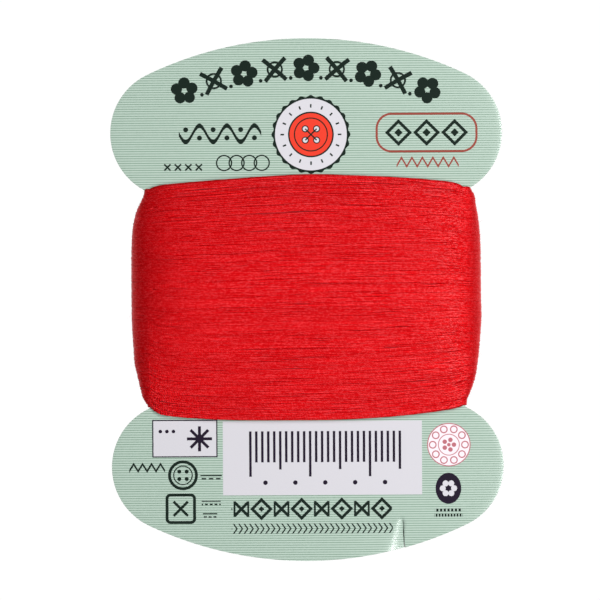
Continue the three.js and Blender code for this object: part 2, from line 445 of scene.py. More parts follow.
# Places and sizes in millimetres. Motifs are plain haberdashery ones: stitches, buttons, rings,
# flowers and a row of ruler ticks.
layout = {
    "hairlines": {"pitch": 0.395, "width": 0.09},
    "arch": {"radius": 57.0, "pitch": 5.2, "count": 9, "stroke": 0.72, "trim": 0.36},
    "archFlower": {"petals": 5, "reach": 1.35, "petal": 0.95, "eye": 0.42},
    "archStitch": {"reach": 2.6, "ring": 1.2, "ringStroke": 0.34},
    "archDot": {"below": 1.6, "radius": 0.32},
    "badge": {"at": (0.8, 27.6), "radius": 6.0, "rim": 0.45, "scallops": 24, "scallop": 0.16},
    "badgeButton": {"radius": 3.7, "rim": 0.26, "well": 2.75, "wellStroke": 0.2},
    "badgeHoles": {"at": 0.95, "radius": 0.5, "stroke": 0.18},
    "badgeThread": {"reach": 1.35, "stroke": 0.24},
    "badgeTacks": {"count": 16, "inner": 4.5, "outer": 5.1, "half": 0.13},
    "wave": {"at": (-14.4, 27.8), "length": 13.8, "height": 1.35, "pitch": 4.6, "stroke": 0.5},
    "waveDot": {"off": 0.7, "radius": 0.42},
    "waveSlant": 0.62,  # the thickness of the slanting line, as a share of its height
    "crosses": {"at": (-20.6, 22.2), "pitch": 1.75, "count": 4, "size": 0.75, "stroke": 0.28},
    "chain": {"at": (-10.6, 22.9), "pitch": 2.1, "radius": 1.25, "stroke": 0.24, "end": 1.4},
    "capsule": {"at": (20.15, 27.85), "half": (8.35, 3.15), "corner": 2.5, "stroke": 0.36},
    "lozenges": {"pitch": 4.7, "count": 3, "size": 1.9, "stroke": 0.52, "heart": 0.85},
    "rickrack": {"at": (20.3, 22.9), "length": 10.4, "height": 0.75, "pitch": 1.75, "stroke": 0.26},
    "box": {"at": (-20.55, -23.15), "half": (5.35, 3.05), "stroke": 0.22, "margin": 0.1},
    "boxDots": {"from": (-3.0, 1.2), "pitch": 1.1, "radius": 0.3, "half": (1.65, 0.55)},
    "star": {"at": (-18.1, -23.2), "rays": 8, "size": 2.1, "stroke": 0.5, "heart": 0.75},
    "panel": {"at": (2.45, -26.5), "half": (16.65, 6.2)},
    "ruler": {"start": -9.6, "top": -22.0, "pitch": 1.0, "count": 26, "width": 0.42},
    "rulerTicks": {1: 5.2, 5: 6.4, 10: 7.6},  # length of every tick, every fifth and every tenth
    "rulerBeads": {"start": 2.5, "every": 5, "below": 8.6, "radius": 0.38},
    "seal": {"at": (23.6, -24.4), "radius": 3.55, "rim": 0.16, "ring": 1.75, "ringStroke": 0.14},
    "sealPetals": {"count": 10, "reach": 2.7, "radius": 0.55, "stroke": 0.2},
    "sealFlower": {"petals": 5, "reach": 0.85, "petal": 0.38, "heart": 0.3},
    "disc": {"at": (23.5, -31.7), "radii": (2.15, 2.6)},
    "discFlower": {"petals": 6, "reach": 0.95, "petal": 0.5, "eye": 0.35},
    "discDashes": [(3.65, 2.3, 0.62), (4.5, 2.4, 0.5)],  # below the centre, half length, pitch
    "dash": {"share": 0.3, "half": 0.26},
    "button": {"at": (-20.9, -29.3), "radius": 2.5, "stroke": 0.5, "well": 1.55, "wellStroke": 0.2},
    "buttonHoles": {"at": 0.62, "radius": 0.34},
    "patch": {"at": (-21.3, -34.9), "half": 2.3, "corner": 0.6, "stroke": 0.5},
    "patchCross": {"reach": 1.7, "stroke": 0.45},
    # rows of tacking under a line: place, half length, pitch
    "tacking": [((-16.2, -29.9), 1.8, 1.2), ((-16.2, -34.2), 1.6, 0.8), ((-16.4, -36.3), 1.2, 0.8)],
    "tack": {"share": 0.32, "half": 0.13, "above": 0.55, "line": 0.1},
    "pinking": {"at": (-26.9, -28.0), "pitch": 1.5, "steep": 1.6, "slant": 0.53, "stroke": 0.3, "half": 3.0},
    "stitches": {"at": (0.6, -35.0), "pitch": 3.36, "count": 8, "size": 1.35, "stroke": 0.5},
    "stitchShares": {"diamond": 1.15, "cross": 1.2},
    "stitchHeart": 0.75,
    "stitchBars": {"off": 1.15, "half": (0.17, 1.3)},
    "herringbone": {"at": (0.7, -38.3), "pitch": 0.9, "length": 27.0, "height": 0.85, "stroke": 0.22},
    "boneLean": {"lean": 0.7, "slant": 0.82},
}
inks = {
    "ground": srgb(181, 200, 188),
    "hairline": srgb(96, 128, 106),
    "white": srgb(206, 204, 210),
    "dark": srgb(20, 34, 27),
    "plum": srgb(31, 22, 39),
    "red": srgb(146, 70, 60),
    "scarlet": srgb(226, 62, 44),
    "pink": srgb(180, 107, 117),
    "blush": srgb(238, 226, 232),
    "threadDeep": srgb(201, 0, 6),
    "threadBright": srgb(212, 0, 11),
    # dark red of the painted shade on the sides of turns and in the grooves between plies
    "threadPaintedShade": srgb(180, 0, 3),
    # paler red of the painted glints on the ply crowns
    "threadPaintedGlint": srgb(220, 36, 43),
}


# Flat shapes as distances in millimetres, less than 0 inside the shape.
def span(x, y):
    return (x * x + y * y).math("SQRT")


def disc(x, y, radius):
    return span(x, y) - radius


def block(x, y, halfX, halfY):
    return (abs(x) - halfX) & (abs(y) - halfY)


def roundBlock(x, y, halfX, halfY, corner):
    overX, overY = abs(x) - (halfX - corner), abs(y) - (halfY - corner)
    return span(overX & 0.0, overY & 0.0) + ((overX & overY) | 0.0) - corner


def stroke(distance, width):
    # A line drawn along the shape's outline.
    return abs(distance) - width / 2


def repeat(x, pitch):
    # Starts again at every pitch, with 0 in the middle of each.
    return x.math("WRAP", pitch / 2, -pitch / 2)


def crossStitch(x, y, reach, width):
    rising, falling = (x + y) * math.sqrt(0.5), (x - y) * math.sqrt(0.5)
    return block(rising, falling, reach, width / 2) | block(falling, rising, reach, width / 2)


def turned(x, y, folds):
    # Folds the plane round the centre, so that what is drawn to the right appears that many times.
    reach, angle = span(x, y), y.math("ARCTAN2", x)
    angle = repeat(angle, 2 * math.pi / folds)
    return reach * angle.math("COSINE"), reach * angle.math("SINE")


def sliding(x, y, place):
    return x - place[0], y - place[1]


def flower(x, y, shape):
    # Round petals about a centre.
    petalX, petalY = turned(x, y, shape["petals"])
    return disc(petalX - shape["reach"], petalY, shape["petal"])


def joined(shapes):
    # All of the shapes together.
    whole = shapes[0]
    for shape in shapes[1:]:
        whole = whole | shape
    return whole


def topPrint(x, y):
    # The upper lobe: an arched row of stitches and flowers, a round badge, and rows either side.
    arch, bloom, stitched, dotted = (layout[key] for key in ("arch", "archFlower", "archStitch", "archDot"))
    fromCentre = y - crownCentreY
    along = x.math("ARCTAN2", fromCentre) * arch["radius"]
    over = span(x, fromCentre) - arch["radius"]
    pitch = arch["pitch"]
    even, odd = repeat(along, 2 * pitch), repeat(along + pitch, 2 * pitch)
    flowers = flower(even, over, bloom) & (bloom["eye"] - span(even, over))
    ring = stroke(disc(odd, over, stitched["ring"]), stitched["ringStroke"])
    stitches = crossStitch(odd, over, stitched["reach"], arch["stroke"]) | ring
    dots = disc(repeat(along + pitch / 2, pitch), over + dotted["below"], dotted["radius"])
    row = (flowers | stitches | dots) & (abs(along) - (pitch * arch["count"] / 2 - arch["trim"]))

    badge, knob, hole, tack = (layout[key] for key in ("badge", "badgeButton", "badgeHoles", "badgeTacks"))
    badgeX, badgeY = sliding(x, y, badge["at"])
    reach, angle = span(badgeX, badgeY), badgeY.math("ARCTAN2", badgeX)
    scallop = (angle * badge["scallops"]).math("COSINE") * badge["scallop"]
    rim = reach - scallop - (badge["radius"] + badge["rim"])
    face = reach - badge["radius"]
    holes = disc(abs(badgeX) - hole["at"], abs(badgeY) - hole["at"], hole["radius"])
    button = (reach - knob["radius"]) & -holes
    buttonLines = joined([
        stroke(reach - knob["radius"], knob["rim"]), stroke(reach - knob["well"], knob["wellStroke"]),
        stroke(holes, hole["stroke"])])
    thread = crossStitch(badgeX, badgeY, *layout["badgeThread"].values())
    tacks = block(*turned(badgeX, badgeY, tack["count"]), tack["outer"], tack["half"])
    tacks = tacks & (tack["inner"] - reach)

    wave, waveDot = layout["wave"], layout["waveDot"]
    waveX, waveY = sliding(x, y, wave["at"])
    curve = (waveX * (2 * math.pi / wave["pitch"])).math("SINE") * wave["height"]
    line = stroke((waveY - curve) * layout["waveSlant"], wave["stroke"])
    line = line & (abs(waveX) - wave["length"] / 2)
    inBends = repeat(waveX - wave["pitch"] / 4, wave["pitch"])
    inHollows = repeat(waveX + wave["pitch"] / 4, wave["pitch"])
    dotsBetween = disc(inBends, waveY + waveDot["off"], waveDot["radius"])
    dotsBetween = dotsBetween | disc(inHollows, waveY - waveDot["off"], waveDot["radius"])
    line = line | (dotsBetween & (abs(waveX) - wave["length"] / 2))

    crosses = layout["crosses"]
    crossX, crossY = sliding(x, y, crosses["at"])
    smallX = repeat(crossX + crosses["pitch"] / 2, crosses["pitch"])
    small = crossStitch(smallX, crossY, crosses["size"], crosses["stroke"])
    small = small & (abs(crossX) - crosses["pitch"] * crosses["count"] / 2)

    chain = layout["chain"]
    chainX, chainY = sliding(x, y, chain["at"])
    pitch = chain["pitch"]
    links = []
    for side in (-1, 1):
        linkX = chainX - pitch * side / 2
        link = stroke(disc(repeat(linkX - pitch, 2 * pitch), chainY, chain["radius"]), chain["stroke"])
        links.append(link & (abs(linkX) - (pitch + chain["end"])))
    rings = joined(links)

    capsule, lozenge, rickrack = layout["capsule"], layout["lozenges"], layout["rickrack"]
    capX, capY = sliding(x, y, capsule["at"])
    outline = stroke(roundBlock(capX, capY, *capsule["half"], capsule["corner"]), capsule["stroke"])
    lozengeX = repeat(capX, lozenge["pitch"])
    diamond = (abs(lozengeX) + abs(capY) - lozenge["size"]) * math.sqrt(0.5)
    diamonds = stroke(diamond, lozenge["stroke"]) | (diamond + lozenge["heart"])
    diamonds = diamonds & (abs(capX) - lozenge["pitch"] * lozenge["count"] / 2)
    zigX, zigY = sliding(x, y, rickrack["at"])
    steep = 4 * rickrack["height"] / rickrack["pitch"]
    zigzag = (abs(repeat(zigX, rickrack["pitch"])) - rickrack["pitch"] / 4) * steep
    zigzag = stroke((zigY - zigzag) / math.hypot(1, steep), rickrack["stroke"])
    zigzag = zigzag & (abs(zigX) - rickrack["length"] / 2)
    return [
        ("dark", row), ("dark", rim), ("white", face), ("dark", tacks), ("scarlet", button),
        ("dark", buttonLines), ("dark", thread), ("dark", line), ("dark", small), ("dark", rings),
        ("red", outline), ("dark", diamonds), ("red", zigzag),
    ]


def bottomPrint(x, y):
    # The lower lobe: a boxed star, a white panel with ruler ticks, small marks, and two long rows.
    box, star, boxDots = layout["box"], layout["star"], layout["boxDots"]
    boxX, boxY = sliding(x, y, box["at"])
    boxed = block(boxX, boxY, *box["half"])
    starX, starY = sliding(x, y, star["at"])
    ray = block(*turned(starX, starY, star["rays"]), star["size"], star["stroke"] / 2)
    star = ray | disc(starX, starY, star["heart"])
    dotX, dotY = sliding(boxX, boxY, boxDots["from"])
    dots = disc(repeat(dotX, boxDots["pitch"]), repeat(dotY, boxDots["pitch"]), boxDots["radius"])
    dots = dots & block(dotX, dotY, *boxDots["half"])

    panel, ruler, bead = layout["panel"], layout["ruler"], layout["rulerBeads"]
    panelX, panelY = sliding(x, y, panel["at"])
    white = block(panelX, panelY, *panel["half"])
    tickX = x - ruler["start"]
    pitch, width = ruler["pitch"], ruler["width"]
    down = ruler["top"] - y
    ticks = joined([
        (abs(repeat(tickX, every * pitch)) - width / 2) & (abs(down - height / 2) - height / 2)
        for every, height in layout["rulerTicks"].items()])
    length = pitch * (ruler["count"] - 1)
    ticks = ticks & (abs(tickX - length / 2) - (length + pitch) / 2)
    beadX = repeat(tickX - bead["start"], bead["every"] * pitch)
    beads = disc(beadX, down - bead["below"], bead["radius"]) & (abs(tickX - length / 2) - length / 2)

    seal, petal, rose = layout["seal"], layout["sealPetals"], layout["sealFlower"]
    sealX, sealY = sliding(x, y, seal["at"])
    reach = span(sealX, sealY)
    petalX, petalY = turned(sealX, sealY, petal["count"])
    petals = stroke(disc(petalX - petal["reach"], petalY, petal["radius"]), petal["stroke"])
    heart = flower(sealX, sealY, rose) | disc(sealX, sealY, rose["heart"])
    sealRims = stroke(reach - seal["radius"], seal["rim"]) | stroke(reach - seal["ring"], seal["ringStroke"])
    sealLines = sealRims | petals | heart

    plate, bloomed, dash = layout["disc"], layout["discFlower"], layout["dash"]
    plateX, plateY = sliding(x, y, plate["at"])
    tall = plate["radii"][0] / plate["radii"][1]
    oval = disc(plateX, plateY * tall, plate["radii"][0])
    bloom = flower(plateX, plateY, bloomed) & (bloomed["eye"] - span(plateX, plateY))
    dashes = joined([
        block(repeat(plateX, pitch), plateY + lower, pitch * dash["share"], dash["half"])
        & (abs(plateX) - half) for lower, half, pitch in layout["discDashes"]])

    button, holes = layout["button"], layout["buttonHoles"]
    buttonX, buttonY = sliding(x, y, button["at"])
    reach = span(buttonX, buttonY)
    buttonRim = stroke(reach - (button["radius"] - button["stroke"] / 2), button["stroke"])
    buttons = buttonRim | stroke(reach - button["well"], button["wellStroke"])
    buttons = buttons | disc(abs(buttonX) - holes["at"], abs(buttonY) - holes["at"], holes["radius"])
    patch = layout["patch"]
    patchX, patchY = sliding(x, y, patch["at"])
    square = roundBlock(patchX, patchY, patch["half"], patch["half"], patch["corner"])
    square = stroke(square, patch["stroke"]) | crossStitch(patchX, patchY, *layout["patchCross"].values())
    tack, lines = layout["tack"], []
    for place, half, pitch in layout["tacking"]:
        lineX, lineY = sliding(x, y, place)
        tacked = block(repeat(lineX, pitch), lineY, pitch * tack["share"], tack["half"])
        tacked = tacked & (abs(lineX) - half)
        lines.append(block(lineX, lineY - tack["above"], half, tack["line"]) | tacked)
    pinking = layout["pinking"]
    zigX, zigY = sliding(x, y, pinking["at"])
    zigzag = (abs(repeat(zigX, pinking["pitch"])) - pinking["pitch"] / 4) * pinking["steep"]
    zigzag = stroke((zigY - zigzag) * pinking["slant"], pinking["stroke"])
    zigzag = zigzag & (abs(zigX) - pinking["half"])

    row, shares, bar = layout["stitches"], layout["stitchShares"], layout["stitchBars"]
    rowX, rowY = sliding(x, y, row["at"])
    pitch, size, width = row["pitch"], row["size"], row["stroke"]
    first, second = repeat(rowX + pitch / 2, 2 * pitch), repeat(rowX + pitch * 1.5, 2 * pitch)
    diamond = (abs(first) + abs(rowY) - size * shares["diamond"]) * math.sqrt(0.5)
    crossed = crossStitch(second, rowY, size * shares["cross"], width)
    bars = block(abs(second) - bar["off"], rowY, *bar["half"])
    stitches = stroke(diamond, width) | crossed | (diamond + layout["stitchHeart"]) | bars
    stitches = stitches & (abs(rowX) - pitch * row["count"] / 2)
    bone, leaning = layout["herringbone"], layout["boneLean"]
    boneX, boneY = sliding(x, y, bone["at"])
    slanted = repeat(boneX + abs(boneY) * leaning["lean"], bone["pitch"]) * leaning["slant"]
    herringbone = stroke(slanted, bone["stroke"]) & block(boneX, boneY, bone["length"] / 2, bone["height"])
    return [
        ("plum", stroke(boxed, box["stroke"])), ("white", boxed + box["margin"]), ("plum", star),
        ("plum", dots), ("white", white), ("plum", ticks), ("plum", beads),
        ("blush", disc(sealX, sealY, seal["radius"])), ("pink", sealLines), ("plum", oval),
        ("white", bloom), ("dark", dashes), ("dark", buttons), ("dark", square),
        ("dark", joined(lines)), ("dark", zigzag), ("dark", stitches), ("dark", herringbone),
    ]


def printedFront():
    # Each ink covers what lies inside its shape, from signed distances, in the order of printing.
    shader = Shader("printedFront")
    place = shader.objectPlace()
    x, y, _ = shader.split(place)
    mottle = shader.noise(place, 1.3, 3.0)
    hair = layout["hairlines"]
    hairline = stroke(repeat(y, hair["pitch"]), hair["width"])
    colour = shader.mixed(shader.spread(mottle, 0.0, 0.12), inks["ground"], inks["hairline"])

    def covering(distance, softness, strength=1.0):
        settings = {"operation": "MULTIPLY_ADD", "use_clamp": True}
        mask = shader.node("Math", settings, {0: distance, 1: -1 / softness, 2: 0.5})
        return mask * strength

    colour = shader.mixed(covering(hairline, 0.03, 0.95), colour, inks["hairline"])
    inked = gloss = None
    for ink, distance in topPrint(x, y) + bottomPrint(x, y):
        mask = covering(distance, 0.05)
        colour = shader.mixed(mask, colour, inks[ink])
        inked = mask if inked is None else inked.math("MAXIMUM", mask)
        bare = 1 - mask * (0.2 if ink in ("white", "blush") else 1.0)
        gloss = bare if gloss is None else gloss.math("MINIMUM", bare)
    grain = shader.noise(place, 9.0, 4.0)
    colour = shader.mixed(shader.spread(grain, 0.0, 0.015), colour, inks["white"])
    normal = shader.bump(shader.noise(place, 2.2, 2.0) * 0.7 + grain * 0.15 + inked * 0.05, 0.012)
    return shader.finish(
        Base_Color=colour, Roughness=shader.spread(grain, 0.11, 0.18), Normal=normal, IOR=1.5,
        Specular_IOR_Level=0.1, Coat_Weight=gloss * 0.8, Coat_Roughness=0.14)


def cutEdge():
    # The white board shows along the cut: its plies lie flat, and the fibres are slightly torn.
    shader = Shader("cutBoardEdge")
    place = shader.objectPlace()
    plies = shader.noise(shader.stretch(place, (0.6, 0.6, 9.0)), 1.6, 4.0, 0.65)
    fibres = shader.noise(place, 7.0, 4.0, 0.6)
    colour = shader.mixed(plies, srgb(206, 208, 200), srgb(240, 240, 234))
    colour = shader.mixed(shader.spread(fibres, 0.0, 0.35), colour, srgb(186, 196, 184))
    return shader.finish(
        Base_Color=colour, Roughness=shader.spread(fibres, 0.75, 0.95),
        Normal=shader.bump(plies * 0.7 + fibres * 0.5, 0.05), IOR=1.45)


def plainBack():
    # Uncoated greyish board with short darker and paler fibres pressed into it.
    shader = Shader("plainBoardBack")
    place = shader.objectPlace()
    long = shader.noise(shader.stretch(place, (0.5, 3.0, 1.0)), 2.2, 5.0, 0.7)
    short = shader.noise(shader.stretch(place, (3.4, 0.7, 1.0)), 2.6, 5.0, 0.7)
    cloudy = shader.noise(place, 0.22, 3.0)
    colour = shader.mixed(shader.spread(long, 0.1, 0.9), srgb(198, 194, 184), srgb(222, 219, 210))
    colour = shader.mixed(shader.spread(short, -0.2, 0.6), colour, srgb(180, 176, 164))
    colour = shader.mixed(cloudy * 0.3, colour, srgb(228, 225, 216))
    return shader.finish(
        Base_Color=colour, Roughness=shader.spread(short, 0.78, 0.92),
        Normal=shader.bump(long + short, 0.02), IOR=1.45)


winding = {
    "crown": 3.1,  # thread built up on the face of the card, at the middle of the winding
    "sidePile": {"left": 3.03, "right": 2.77},
    "endShare": {"top": 0.3, "bottom": 0.26},
    "endPower": {"top": 4.5, "bottom": 2.4},
    "squareness": {"across": (9.0, 9.0), "deep": (2.0, 6.0)},  # at full pile and at none
    # height over the middle of the card, the gentle sweep, its power, and the height in the notch
    "rows": {
        "top": {"left": (20.85, 1.85, 1.3, 18.1), "right": (20.85, 1.65, 2.0, 18.1)},
        "bottom": {"left": (19.92, 1.25, 3.4, 16.7), "right": (19.92, 2.1, 2.2, 17.2)},
    },
    "tuckPower": 40,
    # side, height share, spread and rise of the places where turns have bunched up or lie thin
    "bunches": [("left", 0.76, 0.08, -0.1), ("left", 0.92, 0.1, -0.58), ("left", -0.6, 0.1, 0.15),
                ("left", -1.0, 0.05, -0.5), ("right", 0.92, 0.06, 0.3), ("right", -0.2, 0.12, 0.1),
                ("right", -0.97, 0.13, -0.6)],
    "runStations": 40,
    "runCrowding": 0.25,  # how much closer the stations stand towards the ends of a run
    "endStations": 12,
    "bodyGap": 0.1,
    "bodyRows": {"outside": 40, "inside": 9, "reach": 0.985},
}
thread = {
    "radius": 0.162,
    "flatness": 0.6,  # the tension presses each turn into an oval
    "passes": 14,  # of the winding's whole height
    "turnsInPass": 26.31,  # the odd part sets each pass between the ones before it
    "dwell": 1.3,  # turns spent at each end
    "laidDepth": 0.1,  # thickness that the modelled turns build up
    "proud": (0.0, 0.02),  # how far a turn may stand off the finished form, and how that varies
    "relief": 0.22,  # share of the ups and downs under a turn that it still follows when pulled tight
    "turnBack": (0.975, 0.995),  # height shares between which a pass turns back
    "turnBackEase": 12,
    "wander": 0.1,
    "ripple": 0.04,
    "ripplesInTurn": 14,
    # turns crowd together where they pass the notches
    "gather": {"spacing": 1.7, "reach": 0.02, "from": 19.0, "left": 0.4, "right": 2.1, "drift": 0.9,
               "driftLength": 5.3},
    "slide": {"reach": 0.18, "steps": 9, "effort": 0.1},
    "cell": 0.04,
    "sides": 6,
    "twist": 1.25,  # length of one turn of the ply
    # painted shade down the sides of each turn and in the grooves between the plies
    "sidePaintedShade": 0.4,
    "plyPaintedShade": 0.35,
    "perPiece": 150,
    "pieces": ["threadUnderTurns", "threadMiddleTurns", "threadOuterTurns"],
}
runs, ends = winding["runStations"], winding["endStations"]
stations = 2 * (runs + ends)
endX = card["waistHalfWidth"] - cardHalf


def stationFrame():
    # Once round the card as a flat stadium: where each station stands on the card's middle line and
    # which way is outward. The front run goes left to right, then the right end, back run, left end.
    share = (np.arange(runs) + 0.5) / runs * 2 - 1
    crowding = winding["runCrowding"]
    runX = endX * ((1 - crowding) * share + crowding * np.sin(np.pi * share / 2))
    fan = (np.arange(ends) + 0.5) / ends * np.pi
    anchorX = np.concatenate([runX, np.full(ends, endX), -runX, np.full(ends, -endX)])
    outX = np.concatenate([np.zeros(runs), np.sin(fan), np.zeros(runs), -np.sin(fan)])
    outZ = np.concatenate([np.ones(runs), np.cos(fan), -np.ones(runs), -np.cos(fan)])
    return anchorX, outX, outZ


anchorX, outX, outZ = stationFrame()


def pileShare(s):
    # The share of the full pile left at height share s: endShare + (1 - endShare) * (1 - |s| ^ power).
    atEnds = [winding["endShare"], winding["endPower"]]
    end, power = (np.where(s < 0, atEnd["bottom"], atEnd["top"]) for atEnd in atEnds)
    return end + (1 - end) * (1 - np.abs(np.clip(s, -1, 1)) ** power)


def rowHeight(edge, x):
    # middle - sweep * r ^ power - tuck * r ^ tuckPower, with r the distance from the card's centre
    # line as a share of the waist, and tuck what is left down to the height in the notch.
    r = np.minimum(np.abs(x) / card["waistHalfWidth"], 1)
    heights = []
    for middle, sweep, power, notch in (winding["rows"][edge][side] for side in ("left", "right")):
        tuck = middle - sweep - notch
        heights.append(middle - sweep * r ** power - tuck * r ** winding["tuckPower"])
    return np.where(x < 0, heights[0], heights[1])


rowTop = rowHeight("top", anchorX)
rowBottom = -rowHeight("bottom", anchorX)


def outerDepth(s):
    # How far the finished winding stands off the card's face at each station, for height shares
    # s [station, n]. Seen end on it is |x / reach| ^ across + |z / depth| ^ deep = 1.
    share = pileShare(s)
    left = anchorX[:, None] < 0
    reach = card["waistHalfWidth"] + share * np.where(left, *winding["sidePile"].values())
    for side, at, spread, rise in winding["bunches"]:
        reach = reach + rise * np.exp(-((s - at) / spread) ** 2) * (left == (side == "left"))
    depth = cardHalf + winding["crown"] * share
    across, deep = (none + (full - none) * share for full, none in winding["squareness"].values())
    # found by halving the stretch of depths that it must lie in
    low, high = np.zeros_like(reach), np.full_like(reach, 9.0)
    for _ in range(24):
        half = (low + high) / 2
        x = np.abs(anchorX[:, None] + outX[:, None] * half) / reach
        inside = x ** across + (np.abs(outZ[:, None]) * half / depth) ** deep < 1
        low, high = np.where(inside, half, low), np.where(inside, high, half)
    return low - cardHalf


def alongTurns(values, places, turns):
    # Values given at some turns, read off at every station of every turn.
    way = np.arange(turns * stations) / stations
    return np.interp(way, places, values).reshape(turns, stations)


def blur(values, times):
    # Each value becomes a quarter of either neighbour and half of itself.
    for _ in range(times):
        padded = np.pad(values, 1, mode="edge")
        values = 0.25 * padded[:-2] + 0.5 * padded[1:-1] + 0.25 * padded[2:]
    return values


def laidHeights():
    # The height of the thread at each station of each turn, before it settles: it travels up and
    # down the winding, wanders a little between notches, and crowds together in them.
    marks, places = [0.0], [-0.99]
    for index in range(thread["passes"]):
        limit = (1 if index % 2 == 0 else -1) * random.uniform(*thread["turnBack"])
        marks += [marks[-1] + thread["turnsInPass"]]
        marks += [marks[-1] + thread["dwell"]]
        places += [limit, limit]
    turns = int(marks[-1])
    s = blur(alongTurns(places, marks, turns).ravel(), thread["turnBackEase"]).reshape(turns, stations)
    y = rowBottom + (rowTop - rowBottom) * (s + 1) / 2
    inside = 1 - np.abs(s) ** 8
    notchPasses = np.arange(0, turns + 1, 0.5)
    y = y + inside * alongTurns(random.normal(0, thread["wander"], len(notchPasses)), notchPasses, turns)
    ripples = np.arange(0, turns + 1, 1 / thread["ripplesInTurn"])
    y = y + inside * alongTurns(random.normal(0, thread["ripple"], len(ripples)), ripples, turns)
    gather = thread["gather"]
    atEnds = smoothStep(np.abs(anchorX), gather["from"], endX) * inside
    phase = np.where(anchorX < 0, gather["left"], gather["right"])
    phase = phase + gather["drift"] * np.sin(y / gather["driftLength"])
    return y + atEnds * gather["reach"] * np.sin(2 * np.pi * y / gather["spacing"] + phase)


def layThread(heights):
    # Lays the thread turn by turn over a relief of the winding. Each turn slides a little way to
    # where it lies lowest, bridges the dips under it, and raises the relief where it lies.
    radius, cell, flatness = thread["radius"], thread["cell"], thread["flatness"]
    halfDepth = radius * flatness
    lowest = rowBottom.min() - 1
    cells = int((rowTop.max() + 1 - lowest) / cell)
    y = lowest + cell * np.arange(cells)
    s = (y - rowBottom[:, None]) / (rowTop - rowBottom)[:, None] * 2 - 1
    form = outerDepth(s)
    relief = np.maximum(form - thread["laidDepth"], winding["bodyGap"])
    ceiling = np.where(outZ < 0, (cardMiddleZ - halfDepth) / np.maximum(-outZ, 0.05) - cardHalf, 99.0)
    window = np.arange(-int(radius / cell) - 1, int(radius / cell) + 2)
    station = np.arange(stations)
    slides = np.linspace(-1, 1, thread["slide"]["steps"]) * thread["slide"]["reach"]
    effort = thread["slide"]["effort"] * np.abs(slides)[:, None]

    def contact(at):
        index = np.rint((at - lowest) / cell).astype(int)[..., None] + window
        chord = radius ** 2 - (y[index] - at[..., None]) ** 2
        return index, flatness * np.sqrt(np.maximum(chord, 0)), chord > 0

    def resting(at):
        index, chord, touching = contact(at)
        rows = station[:, None] if at.ndim == 1 else station[None, :, None]
        return np.where(touching, relief[rows, index] + chord, 0).max(-1)

    passes = np.arange(0, len(heights) + 1, 0.5)
    proud = alongTurns(random.normal(*thread["proud"], len(passes)), passes, len(heights)) - halfDepth
    toCome = np.linspace(thread["laidDepth"], 0, len(heights))
    settled, depths = np.empty_like(heights), np.empty_like(heights)
    slideBefore, depthBefore = np.zeros(4), np.full(4, relief[0].mean())
    for turn, laid in enumerate(heights):
        options = np.stack([resting(laid + slide) for slide in slides])
        options = np.stack([blur(option, 3) for option in options]) + effort
        slide = blur(np.concatenate([slideBefore, slides[options.argmin(0)]]), 3)[4:]
        at = laid + slide
        rest = np.concatenate([depthBefore, resting(at)])
        over = np.maximum(rest, 0.5 * (np.roll(rest, 1) + np.roll(rest, -1)))
        index, chord, touching = contact(at)
        level = form[station, index[:, len(window) // 2]] + proud[turn] - toCome[turn]
        depth = level + thread["relief"] * (blur(over, 2)[4:] - level)
        depth = np.minimum(np.maximum(depth, winding["bodyGap"] + halfDepth), ceiling)
        raised = np.where(touching, depth[:, None] + chord, 0)
        np.maximum.at(relief, (station[:, None], index), raised)
        settled[turn], depths[turn] = at, depth
        slideBefore, depthBefore = slide[-4:], depth[-4:]
    return settled, depths, relief - form, y


def stationPoints(y, depth):
    # Points at a height and a depth off the card's face, for arrays that end in the station.
    out = cardHalf + depth
    return np.stack(np.broadcast_arrays(anchorX + outX * out, y, cardMiddleZ + outZ * out), axis=-1)


def makeThread(material):
    # One oval tube along all the turns, cut into a few pieces. Its threadRun map counts turns of the
    # ply along the thread, from the last whole one, and goes from 0 to 1 round it.
    heights, depths, proud, y = layThread(laidHeights())
    face = proud[outZ > 0.99][:, (y > -16) & (y < 16)]
    print(f"thread laid: {len(heights)} turns, {face.mean():+.2f} +- {face.std():.2f} mm off their form")
    path = stationPoints(heights, depths).reshape(1, -1, 3)
    outward = np.tile(np.stack([outX, 0 * outX, outZ], axis=1), (len(heights), 1))[None]
    travelled = np.linalg.norm(np.diff(path[0], axis=0), axis=1).cumsum() / thread["twist"]
    travelled = np.concatenate([[0], travelled])
    pieces = []
    sides = thread["sides"]
    for name, start in zip(thread["pieces"], range(0, len(heights), thread["perPiece"])):
        first = start * stations
        last = min((start + thread["perPiece"]) * stations + 1, path.shape[1])
        run = slice(first, last)
        points, faces = tubes(path[:, run], outward[:, run], thread["radius"], sides, thread["flatness"])
        step = np.arange(first, last - 1)
        whole = np.floor(travelled[step - step % stations])
        near, far = travelled[step] - whole, travelled[step + 1] - whole
        corner = np.arange(sides) / sides
        nextCorner = corner + 1 / sides
        u = np.stack(np.broadcast_arrays(near[:, None], near[:, None], far[:, None], far[:, None]), axis=-1)
        v = np.stack([corner, nextCorner, nextCorner, corner], axis=-1)
        uv = np.stack(np.broadcast_arrays(u, v[None]), axis=-1).reshape(-1, 2)
        caps = np.zeros((2 * sides, 2))
        pieces.append(addMesh(name, points, faces, [material], uv=np.concatenate([uv, caps])))
    return pieces, path[0].reshape(-1, stations, 3)


